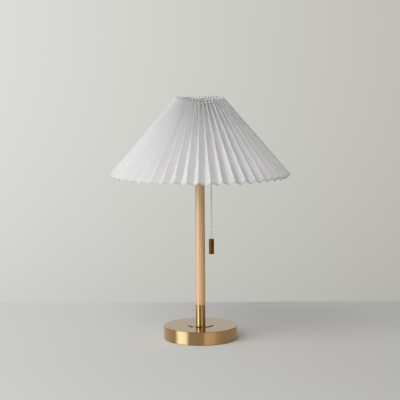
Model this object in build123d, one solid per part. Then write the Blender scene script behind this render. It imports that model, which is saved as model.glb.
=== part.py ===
"""Table lamp: round weighted brass base, wooden stem, accordion-pleated cone shade and pull-chain switch.

Millimetres. +Z is up and the origin is the centre of the base's underside. The chain hangs at +X,
the front is -Y and the cable inlet is at the back, +Y.
"""

import os
from math import cos, hypot, pi, radians, sin

from build123d import *

# Base: a spun brass cup over an iron weight, on a felt pad.
BASE_R = 72.5
BASE_TOP = 26.0
BASE_WALL = 2.0
BASE_CHAMFER = 1.1
PAD_R = 66.0
PAD_T = 1.0
PLATE_T = 1.5
WEIGHT_R = 69.5
RECESS_R = 14.0
RECESS_TOP = 15.0
CHANNEL_W = 9.0
CHANNEL_TOP = 16.0
SCREW_CIRCLE = 50.0
SCREW_R = 1.5
SCREW_HEAD_R = 2.9
SCREW_L = 10.0
SCREW_SLOT = (2.0, 0.4, 0.8)
BUSH_Z = 12.0
BUSH_BORE_R = 3.2
BUSH_SHANK_R = 5.0
BUSH_FLANGE_R = 6.5
BUSH_OUT = 2.7
BUSH_GRIP = 5.0
BUSH_CHAMFER = 0.8
BUSH_POCKET_W = 15.0
BUSH_POCKET_Y = 63.0
BUSH_POCKET_TOP = 20.0

# Stem: everything is clamped on one hollow M10 rod.
ROD_R = 5.0
ROD_BORE_R = 3.9
ROD_HOLE_R = 5.1
ROD_BOTTOM = 7.5
ROD_TOP = 347.0
ROD_NUT_FLATS = 17.0
ROD_NUT_H = 5.0
WASHER_R = 10.0
WASHER_T = 1.5
STEM_R = 9.4
TENON_R = 7.0
TENON_L = 6.0
DISC_R = 25.0
DISC_T = 1.2
DISC_EDGE = 0.5
FERRULE_TOP = 67.0
STEM_TOP = 310.0
COLLAR_R = 12.5
COLLAR_LIP = 1.5
EDGE = 0.3

# Husk cup under the lampholder, which hides the switch.
CUP_Z = 316.0
CUP_TOP = 341.0
CUP_R = 31.0
CUP_WALL = 1.2
CUP_ROUND = 3.0
WIRE_HOLE_X = -14.0
WIRE_HOLE_R = 3.0

# E27 lampholder.
HOLDER_R = 19.5
FLANGE_R = 23.0
FLANGE_T = 2.0
HOLDER_Z = 356.0
HOLDER_TOP = 382.0
HOLDER_WALL = 1.5
HOLDER_FLOOR = 4.0
HOLDER_EDGE = 0.6
CAP_BOSS_R = 9.0
CAP_BOSS_H = 3.8
CAP_SHOULDER = 7.3
TERMINAL_X = 9.0
TERMINAL_DEPTH = 5.0
CONTACT_R = 3.0
CONTACT_H = 1.4
SHELL_R = 14.2
SHELL_BORE_R = 13.4
THREAD_PITCH = 3.6
THREAD_DEPTH = 0.55

# Bulb, A60 with an E27 cap.
BULB_Z = 361.9
BULB_L = 104.0
GLASS_R = 30.0
GLASS_T = 1.0
CAP_R = 13.05
NECK_R = 12.9
NECK_TURN = 42.0
TIP_R = 4.5
TIP_H = 1.5
INSULATOR_R = 10.5
INSULATOR_TOP = 4.6
CAP_WALL = 1.15
CAP_TOP = 26.1
FILAMENTS = 4
FILAMENT_R = 0.8

# Pull chain and its canopy switch.
CHAIN_X = 22.0
BEAD_R = 1.6
LINK_R = 0.5
SWING_Z = 307.5
BEAD_GAP = 0.3
KNOB_R = 5.0
KNOB_TOP = 196.7
KNOB_BOTTOM = 167.2
PIVOT_X = 12.0
PIVOT_Z = 331.0
ARM_L = 10.45
ARM_TILT = 22.5
AXLE_R = 1.25
RUNNING = 0.05
BOX_X0, BOX_X1 = 5.7, 27.5
BOX_Y = 7.0
BOX_TOP = 340.0
BOX_WALL = 1.2
BOX_ROUND = 2.0
COVER_SCREWS_X = (8.6, 25.0)
COVER_SCREW_Z = 337.0
COVER_SCREW_R = 1.0
COVER_SCREW_HEAD_R = 1.9
BOSS_R = 1.6
AXLE_SEAT = 0.6
LEVER_TOP, LEVER_BOTTOM = -2.2, -3.8
LEVER_HALF_W = 1.2
FORK_HALF_W = 2.5
FORK_SLOT = 1.8
RATCHET_TEETH = 8
RATCHET_R = 5.0
RATCHET_ROOT_R = 3.9
RATCHET_UNDERCUT = 6.0
RATCHET_Y = (1.6, 3.6, 5.2)
HUB_R = 3.0
SPRING_R = 2.4
SPRING_WIRE_R = 0.3
SPRING_PITCH = 0.7
SPRING_L = 2.8
BLADES_X = (8.1, 15.5)
BLADE_T = 0.4
BLADE_Y = (3.9, 5.3)
TERMINALS_X = (12.0, 19.0)
TERMINAL_SIZE = 4.0
TERMINAL_Z = (326.0, 332.0)
NIPPLE_R = 4.0
NIPPLE_BORE_R = 2.2
NIPPLE_BOTTOM = 310.0
NIPPLE_TOP = 320.0
SOCKET_R = 5.0
SWITCH_WASHER_R = 5.8
SWITCH_WASHER_T = 0.8
SWITCH_NUT_FLATS = 11.0
SWITCH_NUT_H = 1.6
BELL_R = 5.2
BELL_LIP_R = 5.6
BELL_MOUTH_R = 4.2
BELL_THROAT_R = 2.4

# Shade: 48 pleats, cut square to the folds at the top and the hem.
PLEATS = 48
PLEAT_PHASE = -91.0
PLEAT_SPLIT = 0.58
RIDGE_TOP = (46.0, 476.0)
RIDGE_HEM = (176.5, 324.5)
DEPTH_TOP = 14.0
DEPTH_HEM = 9.5
FABRIC_T = 0.5
WIRE_R = 1.25
RIB_R = 1.0
TOP_RING = (47.0, 464.0)
HEM_RING = (156.5, 329.0)
RIBS = 6
ARMS = 3
FITTER_R = 28.0
FITTER_BORE_R = 19.9
FITTER_T = 1.2
ARM_START_R = 26.9
NUT_R = 25.0
NUT_H = 7.0
NUT_TEETH = 30
NUT_GROOVE = 0.8
FACE_GAP = 0.3

# How far a cutting shape runs past the faces it cuts.
SPARE = 1.0


# --- shape helpers -------------------------------------------------------------------------------


def turned(*outline):
    """Solid of revolution about Z from (radius, height) corners."""
    face = make_face(Polyline(*[(r, 0, z) for r, z in outline], close=True))
    return revolve(face, Axis.Z)


def ring(outer, inner, z0, z1):
    """Flat ring or tube about Z."""
    return turned((inner, z0), (outer, z0), (outer, z1), (inner, z1))


def disc(radius, z0, z1):
    """Plain cylinder about Z."""
    return turned((0, z0), (radius, z0), (radius, z1), (0, z1))


def rod_between(start, end, radius):
    """Round bar from one point to another."""
    along = Vector(*end) - Vector(*start)
    bar = Cylinder(radius, along.length, align=(Align.CENTER, Align.CENTER, Align.MIN))
    return Plane(origin=start, z_dir=along) * bar


def block(x0, x1, y0, y1, z0, z1):
    """Box given by its faces."""
    return Pos((x0 + x1) / 2, (y0 + y1) / 2, (z0 + z1) / 2) * Box(x1 - x0, y1 - y0, z1 - z0)


def bar_y(x, z, radius, y0, y1):
    """Cylinder along Y."""
    return rod_between((x, y0, z), (x, y1, z), radius)


def hexagon(flats, bore, z0, z1):
    """Plain hexagon nut about Z."""
    sketch = RegularPolygon(flats / 2, 6, major_radius=False) - Circle(bore)
    return Pos(0, 0, z0) * extrude(sketch, z1 - z0)


def polar(radius, degrees, z):
    """Point at a radius and angle about Z."""
    return (radius * cos(radians(degrees)), radius * sin(radians(degrees)), z)


def quarter(centre_r, centre_z, radius):
    """Arc from straight below its centre to straight outside it."""
    s = radius * sin(pi / 4)
    start = (centre_r, 0, centre_z - radius)
    return ThreePointArc(start, (centre_r + s, 0, centre_z - s), (centre_r + radius, 0, centre_z))


# --- base ----------------------------------------------------------------------------------------


def base_pad():
    return disc(PAD_R, 0, PAD_T)


def screw_places():
    return [polar(SCREW_CIRCLE, angle, 0) for angle in (30, 150, 270)]


def base_screw(x, y):
    head_h = SCREW_HEAD_R - SCREW_R
    end = PAD_T + SCREW_L
    body = turned((0, PAD_T), (SCREW_HEAD_R, PAD_T), (SCREW_R, PAD_T + head_h), (SCREW_R, end), (0, end))
    reach, half, deep = SCREW_SLOT
    body -= block(-reach, reach, -half, half, PAD_T, PAD_T + deep)
    body -= block(-half, half, -reach, reach, PAD_T, PAD_T + deep)
    return Pos(x, y, 0) * body


def base_screws():
    return Compound([base_screw(x, y).solid() for x, y, _ in screw_places()])


def base_plate():
    plate = ring(BASE_R - BASE_WALL - FACE_GAP, RECESS_R, PAD_T, PAD_T + PLATE_T)
    sink = SCREW_HEAD_R - SCREW_R
    end = PAD_T + PLATE_T + SPARE
    hole = turned((0, PAD_T), (SCREW_HEAD_R, PAD_T), (SCREW_R, PAD_T + sink), (SCREW_R, end), (0, end))
    for x, y, _ in screw_places():
        plate -= Pos(x, y, 0) * hole
    return plate


def base_shell():
    inner = BASE_R - BASE_WALL
    under = BASE_TOP - BASE_WALL
    shell = turned(
        (ROD_HOLE_R, under),
        (inner, under),
        (inner, PAD_T),
        (BASE_R, PAD_T),
        (BASE_R, BASE_TOP - BASE_CHAMFER),
        (BASE_R - BASE_CHAMFER, BASE_TOP),
        (ROD_HOLE_R, BASE_TOP),
    )
    return shell - bar_y(0, BUSH_Z, BUSH_SHANK_R, inner - SPARE, BASE_R + SPARE)


def base_weight():
    floor = PAD_T + PLATE_T
    weight = disc(WEIGHT_R, floor, BASE_TOP - BASE_WALL) - disc(RECESS_R, floor, RECESS_TOP)
    weight -= disc(ROD_HOLE_R, RECESS_TOP, BASE_TOP)
    weight -= block(-CHANNEL_W / 2, CHANNEL_W / 2, 0, BASE_R, floor, CHANNEL_TOP)
    pocket = BUSH_POCKET_W / 2
    weight -= block(-pocket, pocket, BUSH_POCKET_Y, BASE_R, floor, BUSH_POCKET_TOP)
    for x, y, _ in screw_places():
        weight -= Pos(x, y, 0) * disc(SCREW_R, floor, PAD_T + SCREW_L + SPARE)
    return weight


def cable_bush():
    inner = BASE_R - BASE_WALL
    mouth = BASE_R + BUSH_OUT
    outer_flange = bar_y(0, BUSH_Z, BUSH_FLANGE_R, inner, mouth) - disc(BASE_R, 0, BASE_TOP)
    start = inner - BUSH_GRIP
    inner_flange = bar_y(0, BUSH_Z, BUSH_FLANGE_R - EDGE, start, BASE_R) & disc(inner, 0, BASE_TOP)
    bush = bar_y(0, BUSH_Z, BUSH_SHANK_R, start, mouth) + outer_flange + inner_flange
    bush = chamfer(bush.edges().group_by(Axis.Y)[-1], BUSH_CHAMFER)
    return bush - bar_y(0, BUSH_Z, BUSH_BORE_R, start - SPARE, mouth + SPARE)


# --- stem ----------------------------------------------------------------------------------------


def threaded_rod():
    return ring(ROD_R, ROD_BORE_R, ROD_BOTTOM, ROD_TOP)


def rod_nut():
    top = RECESS_TOP - WASHER_T
    return hexagon(ROD_NUT_FLATS, ROD_R, top - ROD_NUT_H, top)


def rod_washer():
    return ring(WASHER_R, ROD_HOLE_R, RECESS_TOP - WASHER_T, RECESS_TOP)


def escutcheon():
    top = BASE_TOP + DISC_T
    return turned(
        (ROD_HOLE_R, BASE_TOP),
        (DISC_R, BASE_TOP),
        (DISC_R, top - DISC_EDGE),
        (DISC_R - DISC_EDGE, top),
        (ROD_HOLE_R, top),
    )


def lower_ferrule():
    foot = BASE_TOP + DISC_T
    return turned(
        (ROD_HOLE_R, foot),
        (STEM_R - EDGE, foot),
        (STEM_R, foot + EDGE),
        (STEM_R, FERRULE_TOP - EDGE),
        (STEM_R - EDGE, FERRULE_TOP),
        (TENON_R, FERRULE_TOP),
        (TENON_R, FERRULE_TOP - TENON_L),
        (ROD_HOLE_R, FERRULE_TOP - TENON_L),
    )


def wood_stem():
    return turned(
        (ROD_HOLE_R, FERRULE_TOP - TENON_L),
        (TENON_R, FERRULE_TOP - TENON_L),
        (TENON_R, FERRULE_TOP),
        (STEM_R - EDGE, FERRULE_TOP),
        (STEM_R, FERRULE_TOP + EDGE),
        (STEM_R, STEM_TOP),
        (TENON_R, STEM_TOP),
        (TENON_R, STEM_TOP + TENON_L / 2),
        (ROD_HOLE_R, STEM_TOP + TENON_L / 2),
    )


def upper_collar():
    return turned(
        (ROD_HOLE_R, STEM_TOP + TENON_L / 2),
        (TENON_R, STEM_TOP + TENON_L / 2),
        (TENON_R, STEM_TOP),
        (STEM_R, STEM_TOP),
        (COLLAR_R, CUP_Z - COLLAR_LIP),
        (COLLAR_R, CUP_Z),
        (ROD_HOLE_R, CUP_Z),
    )


# --- husk cup and lampholder ---------------------------------------------------------------------


def husk_cup():
    flat_r = CUP_R - CUP_ROUND
    bend_z = CUP_Z + CUP_ROUND
    inner_r = CUP_R - CUP_WALL
    outline = [
        Line((ROD_HOLE_R, 0, CUP_Z), (flat_r, 0, CUP_Z)),
        quarter(flat_r, bend_z, CUP_ROUND),
        Line((CUP_R, 0, bend_z), (CUP_R, 0, CUP_TOP)),
        Line((CUP_R, 0, CUP_TOP), (inner_r, 0, CUP_TOP)),
        Line((inner_r, 0, CUP_TOP), (inner_r, 0, bend_z)),
        quarter(flat_r, bend_z, CUP_ROUND - CUP_WALL),
        Line((flat_r, 0, CUP_Z + CUP_WALL), (ROD_HOLE_R, 0, CUP_Z + CUP_WALL)),
        Line((ROD_HOLE_R, 0, CUP_Z + CUP_WALL), (ROD_HOLE_R, 0, CUP_Z)),
    ]
    cup = revolve(make_face(outline), Axis.Z)
    hole = disc(NIPPLE_R + RUNNING, CUP_Z - SPARE, CUP_Z + CUP_WALL + SPARE)
    return cup - Pos(CHAIN_X, 0, 0) * hole


def cup_cover():
    cover = ring(CUP_R, ROD_HOLE_R, CUP_TOP, CUP_TOP + CUP_WALL)
    hole = disc(WIRE_HOLE_R, CUP_TOP - SPARE, CUP_TOP + CUP_WALL + SPARE)
    return cover - Pos(WIRE_HOLE_X, 0, 0) * hole


def holder_cap():
    foot = CUP_TOP + CUP_WALL
    inner_r = HOLDER_R - HOLDER_WALL
    return turned(
        (ROD_R, foot),
        (CAP_BOSS_R, foot),
        (HOLDER_R, foot + CAP_SHOULDER),
        (HOLDER_R, HOLDER_Z),
        (inner_r, HOLDER_Z),
        (inner_r, foot + CAP_SHOULDER + HOLDER_WALL),
        (CAP_BOSS_R, foot + CAP_BOSS_H),
        (ROD_R, foot + CAP_BOSS_H),
    )


def holder_body():
    floor = HOLDER_Z + HOLDER_FLOOR
    body = turned(
        (0, HOLDER_Z),
        (FLANGE_R, HOLDER_Z),
        (FLANGE_R, HOLDER_Z + FLANGE_T),
        (HOLDER_R, HOLDER_Z + FLANGE_T),
        (HOLDER_R, HOLDER_TOP - HOLDER_EDGE),
        (HOLDER_R - HOLDER_EDGE, HOLDER_TOP),
        (SHELL_R, HOLDER_TOP),
        (SHELL_R, floor),
        (0, floor),
    )
    for x in (-TERMINAL_X, TERMINAL_X):
        body -= Pos(x, 0, 0) * disc(SCREW_R, HOLDER_Z - SPARE, floor + SPARE)
    return body


def waves(z0, z1, crest, depth):
    """Rounded-thread outline: crest, root, crest ... from z0 to z1, as (radius, height) corners."""
    count = int((z1 - z0) / (THREAD_PITCH / 4))
    swing = [depth * (1 - cos(pi * i / 2)) / 2 for i in range(count + 1)]
    return [(crest - swing[i], z0 + (z1 - z0) * i / count) for i in range(count + 1)]


def holder_screw_shell():
    z0, z1 = HOLDER_Z + HOLDER_FLOOR + 1, HOLDER_TOP - 3
    return turned(*waves(z0, z1, SHELL_BORE_R, -THREAD_DEPTH), (SHELL_R, z1), (SHELL_R, z0))


def holder_centre_contact():
    floor = HOLDER_Z + HOLDER_FLOOR
    tongue = block(0, TERMINAL_X - 1, -2, 2, floor, floor + 0.5)
    return disc(CONTACT_R, floor, floor + CONTACT_H) + tongue


def holder_terminals():
    terminal = block(-2.5, 2.5, -3, 3, HOLDER_Z - TERMINAL_DEPTH, HOLDER_Z)
    return Compound([(Pos(x, 0, 0) * terminal).solid() for x in (-TERMINAL_X, TERMINAL_X)])


# --- bulb ----------------------------------------------------------------------------------------


def bulb_contact():
    top = BULB_Z + TIP_H
    return turned((0, BULB_Z), (TIP_R - 1, BULB_Z), (TIP_R, BULB_Z + 0.6), (TIP_R, top), (0, top))


def bulb_insulator():
    foot, top = BULB_Z + TIP_H, BULB_Z + INSULATOR_TOP
    return turned((0, foot), (TIP_R + 1, foot), (INSULATOR_R, top), (0, top))


def bulb_cap():
    z0, z1 = BULB_Z + INSULATOR_TOP, neck_z()
    inner_r = CAP_R - CAP_WALL
    threads = waves(z0 + 1.5, z1 - 5, CAP_R, THREAD_DEPTH)
    inside = [(inner_r, z1), (inner_r, z0 + 1), (0, z0 + 1)]
    return turned((0, z0), (INSULATOR_R, z0), *threads, (CAP_R, z1), *inside)


def neck_z():
    """Where the glass leaves the cap."""
    return BULB_Z + CAP_TOP


def globe_z():
    """Height of the centre of the globe."""
    return BULB_Z + BULB_L - GLASS_R


def glass_line(inset):
    """Half outline of the bulb, moved inward: neck, hollow curve and globe."""
    turn = radians(NECK_TURN)
    neck_r = NECK_R - inset
    globe_r = GLASS_R - inset
    meet_r, meet_z = globe_r * cos(turn), globe_z() - globe_r * sin(turn)
    curve_r = (meet_r - neck_r) / (1 - cos(turn))
    curve_z = meet_z - curve_r * sin(turn)
    half = turn / 2
    middle = (neck_r + curve_r * (1 - cos(half)), 0, curve_z + curve_r * sin(half))
    side = (globe_r * cos(pi / 4), 0, globe_z() + globe_r * sin(pi / 4))
    upper = (globe_r * sin(pi / 8), 0, globe_z() + globe_r * cos(pi / 8))
    return [
        Line((neck_r, 0, neck_z()), (neck_r, 0, curve_z)),
        ThreePointArc((neck_r, 0, curve_z), middle, (meet_r, 0, meet_z)),
        ThreePointArc((meet_r, 0, meet_z), (globe_r, 0, globe_z()), side),
        ThreePointArc(side, upper, (0, 0, globe_z() + globe_r)),
    ]


def bulb_glass():
    top = globe_z() + GLASS_R
    ends = [
        Line((NECK_R, 0, neck_z()), (NECK_R - GLASS_T, 0, neck_z())),
        Line((0, 0, top), (0, 0, top - GLASS_T)),
    ]
    return revolve(make_face(glass_line(0) + glass_line(GLASS_T) + ends), Axis.Z)


def bulb_stem():
    foot = neck_z()
    return turned((0, foot), (NECK_R - GLASS_T, foot), (4, foot + 6), (2.5, foot + 24), (0, foot + 26))


def bulb_filaments():
    foot = neck_z() + 22
    rods = []
    for k in range(FILAMENTS):
        angle = (k + 0.5) * 360 / FILAMENTS
        rods.append(rod_between(polar(2, angle, foot), polar(9, angle, foot + 30), FILAMENT_R).solid())
    return Compound(rods)


# --- pull-chain switch ---------------------------------------------------------------------------


def switch_block():
    """Outer shape of the housing with its cover."""
    body = block(BOX_X0, BOX_X1, -BOX_Y, BOX_Y, CUP_Z + CUP_WALL, BOX_TOP)
    return fillet(body.edges().filter_by(Axis.Z), BOX_ROUND)


def switch_housing():
    parting = BOX_WALL - BOX_Y
    floor = CUP_Z + CUP_WALL
    ceiling = BOX_TOP - BOX_WALL
    housing = switch_block() & block(BOX_X0, BOX_X1, parting, BOX_Y, floor, BOX_TOP)
    housing -= block(BOX_X0 + 1, BOX_X1 - 1, parting, BOX_Y - BOX_WALL, floor + BOX_WALL, ceiling)
    housing += Pos(CHAIN_X, 0, 0) * disc(SOCKET_R, floor, NIPPLE_TOP + 0.5) & switch_block()
    for x in COVER_SCREWS_X:
        housing += bar_y(x, COVER_SCREW_Z, BOSS_R, parting, BOX_Y - 0.5)
        housing -= bar_y(x, COVER_SCREW_Z, COVER_SCREW_R, parting, parting + 6)
    housing -= Pos(CHAIN_X, 0, 0) * disc(NIPPLE_R, floor, NIPPLE_TOP + SPARE)
    return housing - bar_y(PIVOT_X, PIVOT_Z, AXLE_R, 0, BOX_Y - AXLE_SEAT)


def switch_cover():
    cover = switch_block() & block(BOX_X0, BOX_X1, -BOX_Y, BOX_WALL - BOX_Y, CUP_Z, BOX_TOP)
    for x in COVER_SCREWS_X:
        cover -= bar_y(x, COVER_SCREW_Z, COVER_SCREW_R, -BOX_Y, BOX_Y)
    return cover - bar_y(PIVOT_X, PIVOT_Z, AXLE_R, AXLE_SEAT - BOX_Y, 0)


def switch_cover_screws():
    screws = []
    face, z = -BOX_Y - 1, COVER_SCREW_Z
    for x in COVER_SCREWS_X:
        screw = bar_y(x, z, COVER_SCREW_R, -BOX_Y, -1) + bar_y(x, z, COVER_SCREW_HEAD_R, face, -BOX_Y)
        slot = block(x - COVER_SCREW_HEAD_R, x + COVER_SCREW_HEAD_R, face, face + 0.5, z - 0.25, z + 0.25)
        screws.append((screw - slot).solid())
    return Compound(screws)


def switch_axle():
    return bar_y(PIVOT_X, PIVOT_Z, AXLE_R, AXLE_SEAT - BOX_Y, BOX_Y - AXLE_SEAT)


def on_lever(shape):
    """Moves a shape made with the pivot at the origin and the arm along +X to its rest place."""
    return Pos(PIVOT_X, 0, PIVOT_Z) * Rot(0, -ARM_TILT, 0) * shape


def switch_lever():
    hub = bar_y(0, 0, -LEVER_BOTTOM, -LEVER_HALF_W, LEVER_HALF_W)
    arm = block(0, 6.5, -LEVER_HALF_W, LEVER_HALF_W, LEVER_BOTTOM, LEVER_TOP)
    fork = block(6.2, ARM_L + 2, -FORK_HALF_W, FORK_HALF_W, LEVER_BOTTOM, LEVER_TOP)
    half = FORK_SLOT / 2
    slot = block(ARM_L - 2.9, ARM_L + 3, -half, half, LEVER_BOTTOM - SPARE, LEVER_TOP + SPARE)
    bore = bar_y(0, 0, AXLE_R + RUNNING, -2, 2)
    return on_lever(hub + arm + fork - slot - bore)


def ratchet_wheel():
    tooth = 360 / RATCHET_TEETH
    low, middle, high = RATCHET_Y
    corners = []
    for k in range(RATCHET_TEETH):
        corners.append(polar(RATCHET_R, tooth * k, 0)[:2])
        corners.append(polar(RATCHET_ROOT_R, tooth * k + RATCHET_UNDERCUT, 0)[:2])
    saw = extrude(make_face(Polyline(*corners, close=True)), middle - low)
    wheel = Pos(0, middle, 0) * Rot(90, 0, 0) * saw + bar_y(0, 0, HUB_R, middle, high)
    wheel -= bar_y(0, 0, AXLE_R + RUNNING, 0, high + SPARE)
    return Pos(PIVOT_X, 0, PIVOT_Z) * wheel


def lever_spring():
    path = Helix(pitch=SPRING_PITCH, height=SPRING_L, radius=SPRING_R)
    section = Plane(origin=path @ 0, z_dir=path % 0) * Circle(SPRING_WIRE_R)
    coil = sweep(section, path, is_frenet=True)
    return Pos(PIVOT_X, -2.0, PIVOT_Z) * Rot(90, 0, 0) * coil


def switch_contacts():
    foot = CUP_Z + 2 * CUP_WALL
    blades = [block(x, x + BLADE_T, *BLADE_Y, foot, PIVOT_Z + 3).solid() for x in BLADES_X]
    return Compound(blades)


def switch_terminals():
    size = TERMINAL_SIZE
    return Compound([block(x, x + size, BOX_Y, BOX_Y + size, *TERMINAL_Z).solid() for x in TERMINALS_X])


def switch_nipple():
    return Pos(CHAIN_X, 0, 0) * ring(NIPPLE_R, NIPPLE_BORE_R, NIPPLE_BOTTOM, NIPPLE_TOP)


def switch_washer():
    return Pos(CHAIN_X, 0, 0) * ring(SWITCH_WASHER_R, NIPPLE_R + RUNNING, CUP_Z - SWITCH_WASHER_T, CUP_Z)


def switch_nut():
    top = CUP_Z - SWITCH_WASHER_T
    return Pos(CHAIN_X, 0, 0) * hexagon(SWITCH_NUT_FLATS, NIPPLE_R, top - SWITCH_NUT_H, top)


def bell_mouth():
    lip = SWING_Z - 0.5
    top = NIPPLE_BOTTOM + 3.5
    mouth = turned(
        (NIPPLE_R, top),
        (BELL_R, top),
        (BELL_R, lip + 1.5),
        (BELL_LIP_R, lip),
        (BELL_MOUTH_R, lip),
        (BELL_THROAT_R, SWING_Z + 2),
        (BELL_THROAT_R, NIPPLE_BOTTOM),
        (NIPPLE_R, NIPPLE_BOTTOM),
    )
    return Pos(CHAIN_X, 0, 0) * mouth


# --- chain and pull ------------------------------------------------------------------------------


def chain_upper():
    end = PIVOT_Z + ARM_L * sin(radians(ARM_TILT))
    tube_top = end - 5.5
    tube = disc(BEAD_R, SWING_Z + BEAD_R + BEAD_GAP, tube_top)
    link = disc(LINK_R, tube_top - SPARE, end)
    return Pos(CHAIN_X, 0, 0) * (tube + link + Pos(0, 0, end) * Sphere(BEAD_R))


def chain_swivel_bead():
    return Pos(CHAIN_X, 0, SWING_Z) * Sphere(BEAD_R)


def chain_lower():
    return Pos(CHAIN_X, 0, 0) * disc(BEAD_R, KNOB_TOP, SWING_Z - BEAD_R - BEAD_GAP)


def pull_knob():
    edge = 0.5
    knob = turned(
        (0, KNOB_BOTTOM),
        (KNOB_R - edge, KNOB_BOTTOM),
        (KNOB_R, KNOB_BOTTOM + edge),
        (KNOB_R, KNOB_TOP - edge),
        (KNOB_R - edge, KNOB_TOP),
        (0, KNOB_TOP),
    )
    return Pos(CHAIN_X, 0, 0) * knob


# --- shade ---------------------------------------------------------------------------------------


def cone_normal():
    """Outward unit normal of the ridge cone, as (radial, vertical)."""
    run, drop = RIDGE_HEM[0] - RIDGE_TOP[0], RIDGE_TOP[1] - RIDGE_HEM[1]
    return drop / hypot(run, drop), run / hypot(run, drop)


def shifted(point, distance):
    """Point of the ridge line moved along the cone's normal."""
    normal = cone_normal()
    return point[0] + distance * normal[0], point[1] + distance * normal[1]


def line_radius(top, hem, z):
    """Radius at a height on the straight line through two (radius, height) points."""
    return top[0] + (top[1] - z) * (hem[0] - top[0]) / (top[1] - hem[1])


def pleat_section(z):
    """Zigzag outline of the fabric at a height."""
    ridge = line_radius(RIDGE_TOP, RIDGE_HEM, z)
    valley = line_radius(shifted(RIDGE_TOP, -DEPTH_TOP), shifted(RIDGE_HEM, -DEPTH_HEM), z)
    pitch = 360 / PLEATS
    corners = []
    for k in range(PLEATS):
        corners.append(polar(ridge, PLEAT_PHASE + k * pitch, 0)[:2])
        corners.append(polar(valley, PLEAT_PHASE + (k + PLEAT_SPLIT) * pitch, 0)[:2])
    return make_face(Polyline(*corners, close=True))


def pleated_cone(inset):
    """Solid inside the zigzag, from above the top edge to below the hem."""
    sections = []
    for z in (RIDGE_TOP[1] + 8, RIDGE_HEM[1] - 12):
        section = pleat_section(z)
        if inset:
            section = offset(section, -inset, kind=Kind.INTERSECTION).face()
        sections.append(Plane.XY.offset(z) * section)
    return loft(sections, ruled=True)


def shade_fabric():
    spare = 8
    band = turned(
        shifted(RIDGE_TOP, spare),
        shifted(RIDGE_HEM, spare),
        shifted(RIDGE_HEM, -DEPTH_HEM - spare),
        shifted(RIDGE_TOP, -DEPTH_TOP - spare),
    )
    return (pleated_cone(0) - pleated_cone(FABRIC_T)) & band


def shade_top_ring():
    return Pos(0, 0, TOP_RING[1]) * Torus(TOP_RING[0], WIRE_R)


def shade_lower_ring():
    return Pos(0, 0, HEM_RING[1]) * Torus(HEM_RING[0], WIRE_R)


def on_ring(wire_ring, angle):
    """Point of a wire ring's centre line."""
    radius, z = wire_ring
    return polar(radius, angle, z)


def shade_ribs():
    ribs = []
    for k in range(RIBS):
        angle = PLEAT_PHASE + k * 360 / RIBS
        ribs.append(rod_between(on_ring(TOP_RING, angle), on_ring(HEM_RING, angle), RIB_R).solid())
    return Compound(ribs)


def shade_arms():
    foot = HOLDER_Z + FLANGE_T + FACE_GAP + FITTER_T / 2
    arms = []
    for k in range(ARMS):
        angle = PLEAT_PHASE + k * 360 / ARMS
        arms.append(rod_between(polar(ARM_START_R, angle, foot), on_ring(TOP_RING, angle), RIB_R).solid())
    return Compound(arms)


def shade_fitter_ring():
    foot = HOLDER_Z + FLANGE_T + FACE_GAP
    return ring(FITTER_R, FITTER_BORE_R, foot, foot + FITTER_T)


def shade_retaining_ring():
    foot = HOLDER_Z + FLANGE_T + FACE_GAP + FITTER_T + FACE_GAP
    step = 360 / NUT_TEETH
    corners = []
    for k in range(NUT_TEETH):
        corners.append(polar(NUT_R, k * step, 0)[:2])
        corners.append(polar(NUT_R, (k + 0.5) * step, 0)[:2])
        corners.append(polar(NUT_R - NUT_GROOVE, (k + 0.75) * step, 0)[:2])
    outline = make_face(Polyline(*corners, close=True))
    return Pos(0, 0, foot) * extrude(outline - Circle(HOLDER_R + RUNNING), NUT_H)


NODES = [
    base_pad,
    base_plate,
    base_screws,
    base_shell,
    base_weight,
    cable_bush,
    rod_nut,
    rod_washer,
    threaded_rod,
    escutcheon,
    lower_ferrule,
    wood_stem,
    upper_collar,
    husk_cup,
    cup_cover,
    holder_cap,
    holder_body,
    holder_screw_shell,
    holder_centre_contact,
    holder_terminals,
    bulb_contact,
    bulb_insulator,
    bulb_cap,
    bulb_glass,
    bulb_stem,
    bulb_filaments,
    switch_housing,
    switch_cover,
    switch_cover_screws,
    switch_axle,
    switch_lever,
    ratchet_wheel,
    lever_spring,
    switch_contacts,
    switch_terminals,
    switch_nipple,
    switch_washer,
    switch_nut,
    bell_mouth,
    chain_upper,
    chain_swivel_bead,
    chain_lower,
    pull_knob,
    shade_fabric,
    shade_top_ring,
    shade_lower_ring,
    shade_ribs,
    shade_arms,
    shade_fitter_ring,
    shade_retaining_ring,
]

os.makedirs("parts", exist_ok=True)
for make in NODES:
    export_step(make(), f"parts/{make.__name__}.step")
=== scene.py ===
"""Table lamp with a pleated cone shade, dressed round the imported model. Metres, +Z up, front at -Y."""

import random
from math import cos, hypot, pi, radians, sin, tan

import bmesh
import bpy
from mathutils import Matrix, Vector


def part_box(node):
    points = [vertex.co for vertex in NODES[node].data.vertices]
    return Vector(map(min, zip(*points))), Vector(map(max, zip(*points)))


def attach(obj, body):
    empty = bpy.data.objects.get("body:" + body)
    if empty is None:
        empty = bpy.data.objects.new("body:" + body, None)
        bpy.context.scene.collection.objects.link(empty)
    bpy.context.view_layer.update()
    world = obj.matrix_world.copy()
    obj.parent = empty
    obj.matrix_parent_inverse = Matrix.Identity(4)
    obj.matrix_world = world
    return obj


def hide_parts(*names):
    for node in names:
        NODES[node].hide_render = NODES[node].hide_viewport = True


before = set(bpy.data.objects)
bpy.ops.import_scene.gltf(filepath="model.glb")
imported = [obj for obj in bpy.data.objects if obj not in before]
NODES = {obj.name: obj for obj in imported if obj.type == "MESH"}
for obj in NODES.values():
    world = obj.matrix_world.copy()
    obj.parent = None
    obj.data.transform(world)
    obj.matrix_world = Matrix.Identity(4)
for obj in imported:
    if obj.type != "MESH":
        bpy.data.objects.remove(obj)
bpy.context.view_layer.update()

MM = 0.001

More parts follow.
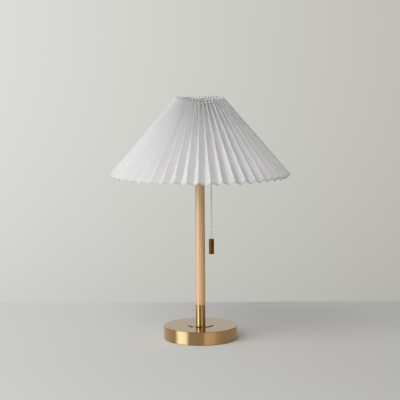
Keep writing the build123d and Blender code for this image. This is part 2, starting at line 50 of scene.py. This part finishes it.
# Shade: the zigzag's ridge line as (radius, height), and how deep the folds go. A pleat's valley lies
# PLEAT_SPLIT of the pitch past its ridge, and at the crowded top edge it leans PLEAT_LEAN further.
PLEATS = 48
PLEAT_PHASE = -91.0
PLEAT_SPLIT = 0.58
PLEAT_LEAN = 0.45
RIDGE_TOP = (46.0 * MM, 476.0 * MM)
RIDGE_HEM = (176.5 * MM, 324.5 * MM)
DEPTH_TOP = 14.0 * MM
DEPTH_HEM = 9.5 * MM
CLOTH_T = 0.45 * MM
CLOTH_FLAT = (1.42, 0.20)
# Share of the light that goes through the cloth, how much a crease is rounded, and rows of faces
# from the top edge to the hem.
CLOTH_THROUGH = 0.42
CREASE_ROUND = 0.02
CLOTH_ROWS = 26
# Where a panel between two creases has its vertices, as shares of its width.
PANEL_SHARES = (0.0, 0.025, 0.15, 0.35, 0.65, 0.85, 0.975)

# Ball chain.
BEAD_R = 1.6 * MM
BEAD_PITCH = 4.0 * MM
LINK_R = 0.45 * MM
# Beads above the swivel bead at full pitch, and how far the last link runs into the pull.
BEADS_ABOVE = 5
LINK_IN_PULL = 1 * MM

# Camera: distance from the lamp's axis, height it looks at, tilt and roll in degrees, lens in mm.
CAMERA_DISTANCE = 2.6165
CAMERA_AIM = 0.2736
CAMERA_PITCH = 6.463
CAMERA_ROLL = -0.335
CAMERA_LENS = 120.76
CAMERA_SENSOR = 36

# Tabletop: its back edge, where it fades out elsewhere, how far to each side its colour changes, and
# how much darker it is at the front; it lightens from TABLE_FRONT to the back edge. These changes are
# painted light and shade: paler at the left and the back, darker at the right and the front.
TABLE_BACK = 0.375
TABLE_FADE = (1.2, 3.0)
TABLE_SIDE = 0.5
TABLE_FRONT = -0.3
TABLE_FRONT_PAINTED_SHADE = 0.94
FLOOR_LEFT_PAINTED_LIGHT, FLOOR_RIGHT_PAINTED_SHADE = (0.84, 0.845, 0.82), (0.68, 0.67, 0.635)

# Lights: how far off they stand and the height they point at.
LIGHT_DISTANCE = 5.0
LIGHT_AIM = 0.25

# Backdrop the camera sees, with painted light and shade: its colour at the left and right, paler at
# the left, and how far to each side it changes. It is darkest at BACKDROP_FOOT, a painted shade where
# it meets the tabletop, and at its full strength at BACKDROP_TOP; these are components of a direction.
BACKDROP_LEFT_PAINTED_LIGHT, BACKDROP_RIGHT_PAINTED_SHADE = (0.72, 0.727, 0.69), (0.527, 0.52, 0.478)
BACKDROP_SIDE = 0.15
BACKDROP_FOOT, BACKDROP_TOP = -0.187, 0.035
BACKDROP_FALLOFF = 2.5
BACKDROP_FOOT_PAINTED_SHADE = 0.86

# Room that lights the lamp: strength of ceiling and ground, and the upward parts of a direction
# between which the walls turn into ceiling. The walls' brightness goes round from the back (0) by the
# left (0.25), the front (0.5) and the right (0.75); WALL_BLUE is how blue it is beside red and green.
CEILING = 0.36
GROUND = 0.35
WALL_TO_CEILING = (0.35, 0.6)
WALL_BLUE = 0.96
WALLS = (
    (0.0, 0.58),
    (0.12, 0.58),
    (0.17, 0.5),
    (0.21, 0.1),
    (0.28, 0.03),
    (0.53, 0.04),
    (0.532, 0.95),
    (0.57, 0.62),
    (0.63, 0.58),
    (0.68, 0.3),
    (0.72, 0.06),
    (0.79, 0.12),
    (0.88, 0.08),
    (0.94, 0.56),
)

# Reflectance of deep yellow brass, straight on.
BRASS = (0.62, 0.37, 0.145)

# Lathe marks: a quarter turn of the radial tangent lays them round the axis.
ROUND_THE_AXIS = 0.25
# Bands per metre of a wave texture at scale 1.
WAVE_BANDS = 3.2
# Upward part of a normal above which a face belongs to the base's top.
TOP_FACE = 0.9


# --- node tree helpers ---------------------------------------------------------------------------


class Tree:
    """A material's node tree, with short calls for the nodes used here."""

    def __init__(self, name):
        self.mat = bpy.data.materials.new(name)
        self.mat.use_nodes = True
        self.tree = self.mat.node_tree
        self.tree.nodes.clear()
        self.out = self.tree.nodes.new("ShaderNodeOutputMaterial")

    def add(self, kind, inputs=None, **props):
        node = self.tree.nodes.new(kind)
        for key, value in props.items():
            setattr(node, key, value)
        for key, value in (inputs or {}).items():
            if isinstance(value, bpy.types.NodeSocket):
                self.tree.links.new(value, node.inputs[key])
            else:
                node.inputs[key].default_value = value
        return node

    def place(self, scale, source):
        """Object or UV coordinates, scaled per axis."""
        coords = self.add("ShaderNodeTexCoord")
        return self.add("ShaderNodeMapping", {"Vector": coords.outputs[source], "Scale": scale}).outputs[0]

    def noise(self, scale, detail=4, rough=0.55, stretch=(1, 1, 1), source="Object"):
        place = self.place(stretch, source)
        inputs = {"Vector": place, "Scale": scale, "Detail": detail, "Roughness": rough}
        return self.add("ShaderNodeTexNoise", inputs).outputs["Fac"]

    def wave(self, pitch, kind, axis, distort, source="Object"):
        """Bands or rings a pitch apart."""
        scale = 1 / pitch / WAVE_BANDS
        props = {"wave_type": kind, "bands_direction": axis, "rings_direction": axis}
        inputs = {"Vector": self.place((1, 1, 1), source), "Scale": scale, "Distortion": distort}
        return self.add("ShaderNodeTexWave", inputs, **props).outputs["Fac"]

    def ramp(self, value, *stops):
        """Colour ramp over (position, colour) stops."""
        node = self.add("ShaderNodeValToRGB", {"Fac": value})
        line = node.color_ramp.elements
        while len(line) < len(stops):
            line.new(0.5)
        for element, (position, colour) in zip(line, stops):
            element.position = position
            element.color = (*colour, 1)
        return node.outputs["Color"]

    def span(self, value, low, high, at=(0.0, 1.0)):
        """Maps a value that runs over the range "at" to low-high, and stops at either end."""
        inputs = {"Value": value, "From Min": at[0], "From Max": at[1], "To Min": low, "To Max": high}
        return self.add("ShaderNodeMapRange", inputs).outputs["Result"]

    def math(self, operation, a, b):
        return self.add("ShaderNodeMath", {0: a, 1: b}, operation=operation).outputs[0]

    def blend(self, share, first, second, how="MIX"):
        """Colour mix: sockets 6 and 7 are the two colours, output 2 the mixed one."""
        inputs = {0: share, 6: first, 7: second}
        return self.add("ShaderNodeMix", inputs, data_type="RGBA", blend_type=how).outputs[2]

    def mix(self, share, first, second):
        """Mix of two shaders."""
        return self.add("ShaderNodeMixShader", {0: share, 1: first, 2: second}).outputs[0]

    def axes(self, vector):
        """The x, y and z of a vector."""
        return self.add("ShaderNodeSeparateXYZ", {0: vector}).outputs

    def bump(self, height, distance, strength, under=None):
        inputs = {"Height": height, "Distance": distance, "Strength": strength}
        if under is not None:
            inputs["Normal"] = under
        return self.add("ShaderNodeBump", inputs).outputs["Normal"]

    def surface(self, **inputs):
        names = {key.replace("_", " "): value for key, value in inputs.items()}
        return self.add("ShaderNodeBsdfPrincipled", names).outputs[0]

    def around(self):
        """Tangent for brush marks round the vertical axis."""
        return self.add("ShaderNodeTangent", direction_type="RADIAL", axis="Z").outputs[0]

    def finish(self, shader):
        self.tree.links.new(shader, self.out.inputs["Surface"])
        return self.mat


class WorldTree(Tree):
    """The same calls for the world's node tree."""

    def __init__(self, name):
        world = bpy.data.worlds.new(name)
        world.use_nodes = True
        bpy.context.scene.world = world
        self.mat = world
        self.tree = world.node_tree
        self.tree.nodes.clear()
        self.out = self.tree.nodes.new("ShaderNodeOutputWorld")

    def background(self, colour, strength):
        return self.add("ShaderNodeBackground", {"Color": colour, "Strength": strength}).outputs[0]


def shade_of(colour, factor):
    return tuple(min(1.0, c * factor) for c in colour)


# --- materials -----------------------------------------------------------------------------------


def turned_brass(name, colour, rough, groove_pitch, aniso):
    """Brass with the fine circular marks that a lathe or a spinning tool leaves."""
    t = Tree(name)
    cloud = t.noise(38, 5, 0.6)
    streak = t.noise(1.0, 3, 0.5, stretch=(30, 30, 1600))
    tone = t.ramp(cloud, (0.3, shade_of(colour, 0.94)), (0.7, shade_of(colour, 1.04)))
    grooves = t.wave(groove_pitch, "BANDS", "Z", 1.5)
    normal = t.bump(grooves, 0.004 * MM, 0.5)
    normal = t.bump(streak, 0.008 * MM, 0.4, normal)
    smudge = t.span(t.noise(55, 6, 0.65), rough * 0.82, rough * 1.2)
    shader = t.surface(
        Base_Color=tone,
        Metallic=1.0,
        Roughness=smudge,
        Normal=normal,
        Anisotropic=aniso,
        Anisotropic_Rotation=ROUND_THE_AXIS,
        Tangent=t.around(),
    )
    return t.finish(shader)


def base_brass(name, side_painted_shade):
    """Satin top face and a turned side under thin lacquer, both brushed round the axis.

    The top face's brass is painted paler than the side's, a painted reflection of the pale wall; the
    factor after the name darkens the side's brass, a painted shade where it is below 1.
    """
    t = Tree(name)
    tangent = t.around()
    cloud = t.noise(24, 5, 0.6)
    fine = t.noise(420, 3, 0.6)
    rings = t.wave(0.28125 * MM, "RINGS", "Z", 0.6)
    top = t.surface(
        # The top face's colour is painted paler and less yellow than the side's brass: a painted reflection
        # of the pale wall.
        Base_Color=t.ramp(cloud, (0.3, (0.59, 0.44, 0.275)), (0.7, (0.64, 0.48, 0.30))),
        Metallic=1.0,
        Roughness=t.span(cloud, 0.12, 0.19),
        Normal=t.bump(fine, 0.004 * MM, 0.4, t.bump(rings, 0.003 * MM, 0.3)),
        Anisotropic=0.4,
        Anisotropic_Rotation=ROUND_THE_AXIS,
        Tangent=tangent,
    )
    streak = t.noise(1.0, 3, 0.5, stretch=(20, 20, 1800))
    # The side's brass is scaled by this factor: below 1 it is painted shade, a dark painted edge.
    edge = shade_of(BRASS, side_painted_shade)
    side = t.surface(
        Base_Color=t.ramp(t.noise(30, 4), (0.3, shade_of(edge, 0.93)), (0.7, shade_of(edge, 1.05))),
        Metallic=1.0,
        Roughness=t.span(t.noise(60, 5), 0.28, 0.33),
        Normal=t.bump(streak, 0.004 * MM, 0.3),
        Anisotropic=1.0,
        Anisotropic_Rotation=ROUND_THE_AXIS,
        Tangent=tangent,
        Coat_Weight=0.6,
        Coat_Roughness=0.25,
    )
    up = t.axes(t.add("ShaderNodeNewGeometry").outputs["True Normal"])["Z"]
    is_top = t.math("GREATER_THAN", up, TOP_FACE)
    return t.finish(t.mix(is_top, side, top))


def stem_wood():
    """Pale straight-grained hardwood under satin lacquer."""
    t = Tree("wood_stem")
    pale, mid, dark = (0.83, 0.48, 0.18), (0.76, 0.415, 0.14), (0.36, 0.15, 0.045)
    bands = t.noise(1.0, 6, 0.6, stretch=(260, 260, 5))
    fibres = t.noise(1.0, 4, 0.7, stretch=(1500, 1500, 26))
    pores = t.noise(1.0, 2, 0.5, stretch=(2200, 2200, 70))
    tone = t.ramp(bands, (0.28, mid), (0.52, pale), (0.75, shade_of(pale, 1.05)))
    streaks = t.ramp(fibres, (0.35, (0.87, 0.85, 0.82)), (0.62, (1, 1, 1)))
    tone = t.blend(0.75, tone, streaks, "MULTIPLY")
    pits = t.math("GREATER_THAN", pores, 0.69)
    tone = t.blend(t.math("MULTIPLY", pits, 0.4), tone, (*dark, 1))
    normal = t.bump(fibres, 0.03 * MM, 0.35)
    rough = t.span(fibres, 0.46, 0.58)
    shader = t.surface(
        Base_Color=tone,
        Roughness=rough,
        Normal=normal,
        Specular_IOR_Level=0.3,
        Coat_Weight=1.0,
        Coat_Roughness=0.5,
        Coat_IOR=1.7,
    )
    return t.finish(shader)


def pleated_cloth():
    """White plain-weave cotton stiffened for pleating, which lets some light through."""
    t = Tree("cloth_shade")
    warp = t.wave(0.6 * MM, "BANDS", "X", 0.8, source="UV")
    weft = t.wave(0.7 * MM, "BANDS", "Y", 0.8, source="UV")
    weave = t.math("MULTIPLY", warp, weft)
    slub = t.noise(1.0, 4, 0.6, stretch=(900, 60, 1), source="UV")
    cloud = t.noise(16, 4, 0.5)
    white = (0.945, 0.94, 0.945)
    tone = t.ramp(slub, (0.25, shade_of(white, 0.95)), (0.75, shade_of(white, 1.03)))
    aged = t.ramp(cloud, (0.3, (0.97, 0.97, 0.965)), (0.7, (1, 1, 1)))
    tone = t.blend(1.0, tone, aged, "MULTIPLY")
    normal = t.bump(slub, 0.05 * MM, 0.4, t.bump(weave, 0.05 * MM, 0.5))
    front = t.surface(
        Base_Color=tone,
        Roughness=0.9,
        Normal=normal,
        Specular_IOR_Level=0.2,
        Sheen_Weight=0.15,
        Sheen_Roughness=0.5,
    )
    through = t.add("ShaderNodeBsdfTranslucent", {"Color": tone, "Normal": normal}).outputs[0]
    return t.finish(t.mix(CLOTH_THROUGH, front, through))


def ball_chain():
    t = Tree("metal_chain")
    tone = t.ramp(t.noise(300, 3), (0.3, (0.80, 0.74, 0.60)), (0.7, (0.92, 0.87, 0.74)))
    rough = t.span(t.noise(900, 3), 0.18, 0.34)
    return t.finish(t.surface(Base_Color=tone, Metallic=1.0, Roughness=rough))


def bronze():
    """Dark bronzed brass, a little lighter where fingers rub the edges."""
    t = Tree("bronze_pull")
    tone = t.ramp(t.noise(120, 5, 0.6), (0.3, (0.12, 0.042, 0.006)), (0.7, (0.19, 0.072, 0.012)))
    edge = t.add("ShaderNodeNewGeometry").outputs["Pointiness"]
    worn = t.span(edge, 0.0, 0.5, (0.58, 0.7))
    tone = t.blend(worn, tone, (0.62, 0.45, 0.22, 1))
    marks = t.noise(1.0, 3, stretch=(60, 60, 2600))
    normal = t.bump(marks, 0.006 * MM, 0.5)
    rough = t.span(t.noise(160, 5), 0.26, 0.42)
    return t.finish(t.surface(Base_Color=tone, Metallic=1.0, Roughness=rough, Normal=normal))


def felt():
    t = Tree("felt_pad")
    fibres = t.noise(1400, 6, 0.8)
    tone = t.ramp(fibres, (0.3, (0.012, 0.011, 0.010)), (0.7, (0.05, 0.046, 0.042)))
    normal = t.bump(fibres, 0.3 * MM, 0.8)
    fuzz = t.surface(Base_Color=tone, Roughness=0.98, Normal=normal, Sheen_Weight=0.35, Sheen_Roughness=0.6)
    return t.finish(fuzz)


def plated(name, colour, rough):
    """Plated or drawn metal with faint handling marks."""
    t = Tree(name)
    spots = t.noise(900, 4, 0.6)
    tone = t.ramp(t.noise(90, 4), (0.3, shade_of(colour, 0.88)), (0.7, shade_of(colour, 1.06)))
    normal = t.bump(spots, 0.01 * MM, 0.3)
    smudge = t.span(spots, rough * 0.8, rough * 1.3)
    return t.finish(t.surface(Base_Color=tone, Metallic=1.0, Roughness=smudge, Normal=normal))


def cast():
    t = Tree("iron_cast")
    sand = t.noise(700, 8, 0.75)
    tone = t.ramp(sand, (0.3, (0.03, 0.028, 0.026)), (0.7, (0.085, 0.08, 0.075)))
    normal = t.bump(sand, 0.35 * MM, 0.9)
    rough = t.span(sand, 0.55, 0.8)
    return t.finish(t.surface(Base_Color=tone, Metallic=0.6, Roughness=rough, Normal=normal))


def moulded(name, colour, rough=0.42, texture=0.02 * MM):
    """Moulded plastic: fine spark-eroded texture and slight colour drift."""
    t = Tree(name)
    skin = t.noise(2600, 3, 0.6)
    tone = t.ramp(t.noise(60, 4), (0.3, shade_of(colour, 0.95)), (0.7, shade_of(colour, 1.04)))
    rough_map = t.span(t.noise(300, 4), rough * 0.85, rough * 1.15)
    normal = t.bump(skin, texture, 0.5)
    shader = t.surface(Base_Color=tone, Roughness=rough_map, Normal=normal, Specular_IOR_Level=0.45)
    return t.finish(shader)


def enamel():
    """White enamelled wire with a slight orange peel."""
    t = Tree("enamel_wire")
    peel = t.noise(500, 3, 0.5)
    tone = t.ramp(t.noise(70, 4), (0.3, (0.70, 0.69, 0.66)), (0.7, (0.79, 0.78, 0.75)))
    normal = t.bump(peel, 0.02 * MM, 0.4)
    shader = t.surface(Base_Color=tone, Roughness=0.35, Normal=normal, Coat_Weight=0.3, Coat_Roughness=0.15)
    return t.finish(shader)


def opal():
    """Inside-frosted bulb glass."""
    t = Tree("glass_opal")
    frost = t.noise(600, 4, 0.6)
    tone = t.ramp(t.noise(40, 3), (0.3, (0.86, 0.86, 0.84)), (0.7, (0.93, 0.93, 0.91)))
    rough = t.span(frost, 0.12, 0.2)
    skin = t.surface(Base_Color=tone, Roughness=rough, Coat_Weight=0.6, Coat_Roughness=0.05)
    through = t.add("ShaderNodeBsdfTranslucent", {"Color": tone}).outputs[0]
    return t.finish(t.mix(0.45, skin, through))


def clear_glass():
    t = Tree("glass_clear")
    ripple = t.bump(t.noise(120, 2), 0.05 * MM, 0.3)
    tone = t.ramp(t.noise(50, 2), (0.3, (0.90, 0.94, 0.93)), (0.7, (0.95, 0.97, 0.96)))
    shader = t.surface(Base_Color=tone, Roughness=0.05, Normal=ripple, Transmission_Weight=1.0, IOR=1.5)
    return t.finish(shader)


def phosphor():
    t = Tree("phosphor_filament")
    grain = t.noise(2500, 4)
    tone = t.ramp(grain, (0.3, (0.80, 0.52, 0.10)), (0.7, (0.93, 0.68, 0.20)))
    return t.finish(t.surface(Base_Color=tone, Roughness=0.7, Normal=t.bump(grain, 0.05 * MM, 0.6)))


def floor_finish():
    """Plain pale tabletop with painted light, paler at the left and back; it fades out far from the lamp."""
    t = Tree("stage_floor")
    place = t.add("ShaderNodeTexCoord").outputs["Object"]
    x, y, _ = t.axes(place)
    # Painted light and shade: the colour runs from paler at the left to darker at the right, and is darker
    # at the front.
    across = t.span(x, 0.0, 1.0, (-TABLE_SIDE, TABLE_SIDE))
    tone = t.ramp(across, (0.0, FLOOR_LEFT_PAINTED_LIGHT), (1.0, FLOOR_RIGHT_PAINTED_SHADE))
    painted_falloff = t.span(y, TABLE_FRONT_PAINTED_SHADE, 1.0, (TABLE_FRONT, TABLE_BACK))
    tone = t.add("ShaderNodeVectorMath", {0: tone, 3: painted_falloff}, operation="SCALE").outputs[0]
    distance = t.add("ShaderNodeVectorMath", {0: place}, operation="LENGTH").outputs["Value"]
    gone = t.span(distance, 0.0, 1.0, TABLE_FADE)
    matt = t.surface(Base_Color=tone, Roughness=0.9, Specular_IOR_Level=0.0)
    clear = t.add("ShaderNodeBsdfTransparent").outputs[0]
    return t.finish(t.mix(gone, matt, clear))


def dress(material, *names):
    """Gives CAD nodes their material."""
    for name in names:
        slots = NODES[name].data.materials
        slots.clear()
        slots.append(material)


# --- shapes --------------------------------------------------------------------------------------


def new_piece(name, bm, material, body):
    mesh = bpy.data.meshes.new(name)
    bm.normal_update()
    bm.to_mesh(mesh)
    bm.free()
    for face in mesh.polygons:
        face.use_smooth = True
    mesh.materials.append(material)
    piece = bpy.data.objects.new(name, mesh)
    bpy.context.scene.collection.objects.link(piece)
    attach(piece, body)
    return piece


def cone_normal():
    """Outward unit normal of the ridge cone, as (radial, vertical)."""
    run, drop = RIDGE_HEM[0] - RIDGE_TOP[0], RIDGE_TOP[1] - RIDGE_HEM[1]
    return drop / hypot(run, drop), run / hypot(run, drop)


def on_cone(share, depth, azimuth):
    """Point a share of the way down the slant, some depth in from the ridge cone."""
    nr, nz = cone_normal()
    r = RIDGE_TOP[0] + share * (RIDGE_HEM[0] - RIDGE_TOP[0]) - depth * nr
    z = RIDGE_TOP[1] + share * (RIDGE_HEM[1] - RIDGE_TOP[1]) - depth * nz
    return Vector((r * cos(radians(azimuth)), r * sin(radians(azimuth)), z))


def pleat_creases(rng):
    """For each crease in turn: azimuths at the top and the hem, depth share, and how far it reaches."""
    pitch = 360 / PLEATS
    creases = []
    for k in range(PLEATS):
        for offset, valley in ((0.0, 0.0), (PLEAT_SPLIT, 1.0)):
            middle = PLEAT_PHASE + (k + offset) * pitch
            top = middle + valley * PLEAT_LEAN * pitch + rng.uniform(-0.35, 0.35)
            hem = middle + rng.uniform(-0.45, 0.45)
            depth = valley * rng.uniform(0.92, 1.0) + (1 - valley) * rng.uniform(0.0, 0.05)
            creases.append((top, hem, depth, rng.uniform(-0.003, 0.003)))
    return creases


def pleated_shade(material):
    """The whole pleated cloth as one closed strip, creased at every ridge and valley."""
    rng = random.Random(11)
    creases = pleat_creases(rng)
    panels = [(rng.uniform(-0.35, 0.35) * MM, rng.uniform(0.3, 1.4)) for _ in creases]
    bm = bmesh.new()
    uv = bm.loops.layers.uv.new("strip")
    grid = []
    for row in range(CLOTH_ROWS + 1):
        down = row / CLOTH_ROWS
        depth = DEPTH_TOP + down * (DEPTH_HEM - DEPTH_TOP)
        corners = []
        for top, hem, deep, reach in creases:
            share = down + reach * down
            corners.append(on_cone(share, depth * deep, top + down * (hem - top)))
        line = []
        for i, here in enumerate(corners):
            there = corners[(i + 1) % len(corners)]
            before = corners[i - 1]
            bulge, turns = panels[i]
            azimuth = PLEAT_PHASE + i * 180 / PLEATS
            slant = on_cone(1, 0, azimuth) - on_cone(0, 0, azimuth)
            side = (there - here).cross(slant)
            side.normalize()
            for share in PANEL_SHARES:
                point = here.lerp(there, share)
                if share == 0.0:
                    point = here.lerp((before + there) / 2, CREASE_ROUND)
                swell = bulge * sin(pi * share) * sin(pi * down * turns)
                line.append(bm.verts.new(point + side * swell))
        grid.append(line)
    per_row = len(grid[0])
    width = CLOTH_FLAT[0] / per_row
    drop = CLOTH_FLAT[1] / CLOTH_ROWS
    for row in range(CLOTH_ROWS):
        for i in range(per_row):
            j = (i + 1) % per_row
            face = bm.faces.new((grid[row][i], grid[row + 1][i], grid[row + 1][j], grid[row][j]))
            marks = ((i, row), (i, row + 1), (i + 1, row + 1), (i + 1, row))
            for loop, (a, b) in zip(face.loops, marks):
                loop[uv].uv = (a * width, b * drop)
    shade = new_piece("shade_cloth", bm, material, "shade")
    skin = shade.modifiers.new("thickness", "SOLIDIFY")
    skin.thickness = CLOTH_T
    skin.offset = -1
    return shade


def chain_piece(name, bead_heights, links, x, material, body):
    """Balls strung on short pins, hanging straight."""
    bm = bmesh.new()
    for z in bead_heights:
        place = Matrix.Translation((x, 0, z))
        bmesh.ops.create_uvsphere(bm, u_segments=20, v_segments=14, radius=BEAD_R, matrix=place)
    for low, high in links:
        place = Matrix.Translation((x, 0, (low + high) / 2))
        bmesh.ops.create_cone(
            bm, cap_ends=True, segments=12, radius1=LINK_R, radius2=LINK_R, depth=high - low, matrix=place
        )
    return new_piece(name, bm, material, body)


def ball_chains(material):
    """The chain above, at and below the swivel bead, at one even pitch."""
    low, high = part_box("chain_swivel_bead")
    x, swivel = (low.x + high.x) / 2, (low.z + high.z) / 2
    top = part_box("chain_upper")[1].z
    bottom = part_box("chain_lower")[0].z
    count = int((swivel - bottom) / BEAD_PITCH)
    below = [swivel - BEAD_PITCH * k for k in range(1, count + 1)]
    links = [(z, z + BEAD_PITCH - (BEAD_R if k == 0 else 0)) for k, z in enumerate(below)]
    links.append((bottom - LINK_IN_PULL, below[-1]))
    hanging = chain_piece("chain_hanging_beads", below, links, x, material, "chain_hanging")
    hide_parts("chain_lower")
    above = [swivel + BEAD_PITCH * k for k in range(1, BEADS_ABOVE + 1)]
    end = top - BEAD_R
    inner_link = (swivel + BEAD_R, end)
    inner = chain_piece("chain_inner_beads", above + [end], [inner_link], x, material, "pull_chain")
    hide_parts("chain_upper")
    dress(material, "chain_swivel_bead")


# --- studio --------------------------------------------------------------------------------------


def make_camera():
    """Long lens at the height and distance of a product shot, looking a little down."""
    pitch = radians(CAMERA_PITCH)
    data = bpy.data.cameras.new("camera")
    data.sensor_width = CAMERA_SENSOR
    data.lens = CAMERA_LENS
    camera = bpy.data.objects.new("camera", data)
    bpy.context.scene.collection.objects.link(camera)
    camera.location = (0, -CAMERA_DISTANCE * cos(pitch), CAMERA_AIM + CAMERA_DISTANCE * sin(pitch))
    look = Matrix.Rotation(pi / 2 - pitch, 4, "X") @ Matrix.Rotation(radians(CAMERA_ROLL), 4, "Z")
    camera.rotation_mode = "QUATERNION"
    camera.rotation_quaternion = look.to_quaternion()
    bpy.context.scene.camera = camera


def softbox(name, azimuth, elevation, width, height, radiance, colour, seen_by="all"):
    """Softbox aimed at the lamp, with azimuth from the front (-Y), positive to the right.

    Angles are in degrees; width and height are the angles it fills. It lights matt surfaces only
    with seen_by "matt", shows in reflections only with "gloss", and does both with "all".
    """
    a, e = radians(azimuth), radians(elevation)
    out = Vector((sin(a) * cos(e), -cos(a) * cos(e), sin(e)))
    data = bpy.data.lights.new(name, "AREA")
    data.shape = "RECTANGLE"
    data.size = 2 * LIGHT_DISTANCE * tan(radians(width / 2))
    data.size_y = 2 * LIGHT_DISTANCE * tan(radians(height / 2))
    data.energy = pi * data.size * data.size_y * radiance
    data.color = colour
    light = bpy.data.objects.new(name, data)
    bpy.context.scene.collection.objects.link(light)
    light.location = Vector((0, 0, LIGHT_AIM)) + out * LIGHT_DISTANCE
    light.rotation_mode = "QUATERNION"
    light.rotation_quaternion = (-out).to_track_quat("-Z", "Y")
    light.visible_camera = False
    light.visible_diffuse = seen_by != "gloss"
    light.visible_glossy = seen_by != "matt"


def make_world():
    """A pale backdrop to look at, with painted light and shade, and a room that lights the lamp with its
    ceiling, walls and ground.
    """
    t = WorldTree("room")
    x, y, z = t.axes(t.add("ShaderNodeTexCoord").outputs["Generated"])
    # Painted light and shade: the backdrop is paler at the left, darker at the right and darker at its foot.
    across = t.span(x, 0.0, 1.0, (-BACKDROP_SIDE, BACKDROP_SIDE))
    low = t.math("POWER", t.span(z, 1.0, 0.0, (BACKDROP_FOOT, BACKDROP_TOP)), BACKDROP_FALLOFF)
    strength = t.span(low, 1.0, BACKDROP_FOOT_PAINTED_SHADE)
    backdrop_painted_light = t.ramp(across, (0.0, BACKDROP_LEFT_PAINTED_LIGHT), (1.0, BACKDROP_RIGHT_PAINTED_SHADE))
    backdrop = t.background(backdrop_painted_light, strength)
    azimuth = t.math("ARCTAN2", x, t.math("MULTIPLY", y, -1))
    turn = t.span(azimuth, 0.0, 1.0, (-pi, pi))
    stops = [(place, (value, value, value * WALL_BLUE)) for place, value in WALLS]
    walls = t.background(t.ramp(turn, *stops), 1.0)
    ceiling = t.background((1, 1, 1, 1), CEILING)
    below = t.background((1, 1, 0.96, 1), GROUND)
    room = t.mix(t.span(z, 0.0, 1.0, WALL_TO_CEILING), walls, ceiling)
    room = t.mix(t.math("LESS_THAN", z, 0), room, below)
    seen = t.add("ShaderNodeLightPath").outputs["Is Camera Ray"]
    t.finish(t.mix(seen, room, backdrop))


def make_floor():
    bm = bmesh.new()
    reach = TABLE_FADE[1]
    corners = ((-reach, -reach), (reach, -reach), (reach, TABLE_BACK), (-reach, TABLE_BACK))
    bm.faces.new([bm.verts.new((x, y, 0)) for x, y in corners])
    mesh = bpy.data.meshes.new("floor")
    bm.to_mesh(mesh)
    bm.free()
    mesh.materials.append(floor_finish())
    floor = bpy.data.objects.new("floor", mesh)
    bpy.context.scene.collection.objects.link(floor)


def make_studio():
    make_camera()
    make_world()
    make_floor()
    softbox("key", -61, 12.5, 37, 24, 4.3, (1.0, 0.99, 0.98))
    softbox("glint", -61, 12.5, 36, 24, 22.0, (0.27, 0.6, 1.0), "gloss")
    softbox("window", 28, 12, 34, 30, 0.8, (1.0, 1.0, 1.0), "gloss")
    softbox("sky", -34, 42, 55, 38, 2.4, (1.0, 0.99, 0.985), "matt")
    bpy.context.scene.view_settings.view_transform = "Standard"


# --- the lamp ------------------------------------------------------------------------------------


def dress_frame():
    """Materials of the CAD nodes that show as they are."""
    dress(base_brass("brass_base", 1.0), "base_shell")
    # The disc's side is painted at 0.3 of the brass: painted shade for the dark ring round its edge.
    dress(base_brass("brass_disc", 0.3), "escutcheon")
    sleeve = turned_brass("brass_sleeve", BRASS, 0.32, 0.4 * MM, 1.0)
    dress(sleeve, "lower_ferrule", "upper_collar")
    spun = turned_brass("brass_spun", (0.70, 0.54, 0.30), 0.28, 0.6 * MM, 0.6)
    dress(spun, "husk_cup", "cup_cover", "bell_mouth", "switch_nipple", "switch_nut", "switch_washer")
    contact = plated("brass_contact", (0.74, 0.58, 0.27), 0.3)
    dress(contact, "holder_screw_shell", "holder_centre_contact", "holder_terminals")
    dress(contact, "switch_contacts", "switch_terminals")
    dress(stem_wood(), "wood_stem")
    dress(bronze(), "pull_knob")
    dress(felt(), "base_pad")
    zinc = plated("steel_zinc", (0.56, 0.57, 0.56), 0.34)
    dress(zinc, "base_plate", "base_screws", "rod_nut", "rod_washer", "threaded_rod")
    dress(zinc, "switch_cover_screws", "switch_axle")
    dress(plated("steel_spring", (0.5, 0.5, 0.52), 0.22), "lever_spring")
    dress(cast(), "base_weight")
    dress(moulded("plastic_holder", (0.80, 0.78, 0.73)), "holder_cap", "holder_body", "shade_retaining_ring")
    dress(moulded("plastic_bush", (0.02, 0.018, 0.016), 0.5), "cable_bush")
    dress(moulded("plastic_switch", (0.03, 0.022, 0.018), 0.25), "switch_housing", "switch_cover")
    nylon = moulded("nylon_moving", (0.66, 0.62, 0.50), 0.5, 0.03 * MM)
    dress(nylon, "switch_lever", "ratchet_wheel")
    dress(plated("nickel_cap", (0.66, 0.64, 0.60), 0.22), "bulb_cap")
    dress(moulded("glass_black", (0.008, 0.008, 0.009), 0.1, 0.005 * MM), "bulb_insulator")
    dress(plated("solder_contact", (0.6, 0.6, 0.6), 0.4), "bulb_contact")
    dress(opal(), "bulb_glass")
    dress(clear_glass(), "bulb_stem")
    dress(phosphor(), "bulb_filaments")
    wire = enamel()
    dress(wire, "shade_top_ring", "shade_lower_ring", "shade_ribs", "shade_arms", "shade_fitter_ring")


make_studio()
dress_frame()
ball_chains(ball_chain())
cloth = pleated_shade(pleated_cloth())
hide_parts("shade_fabric")
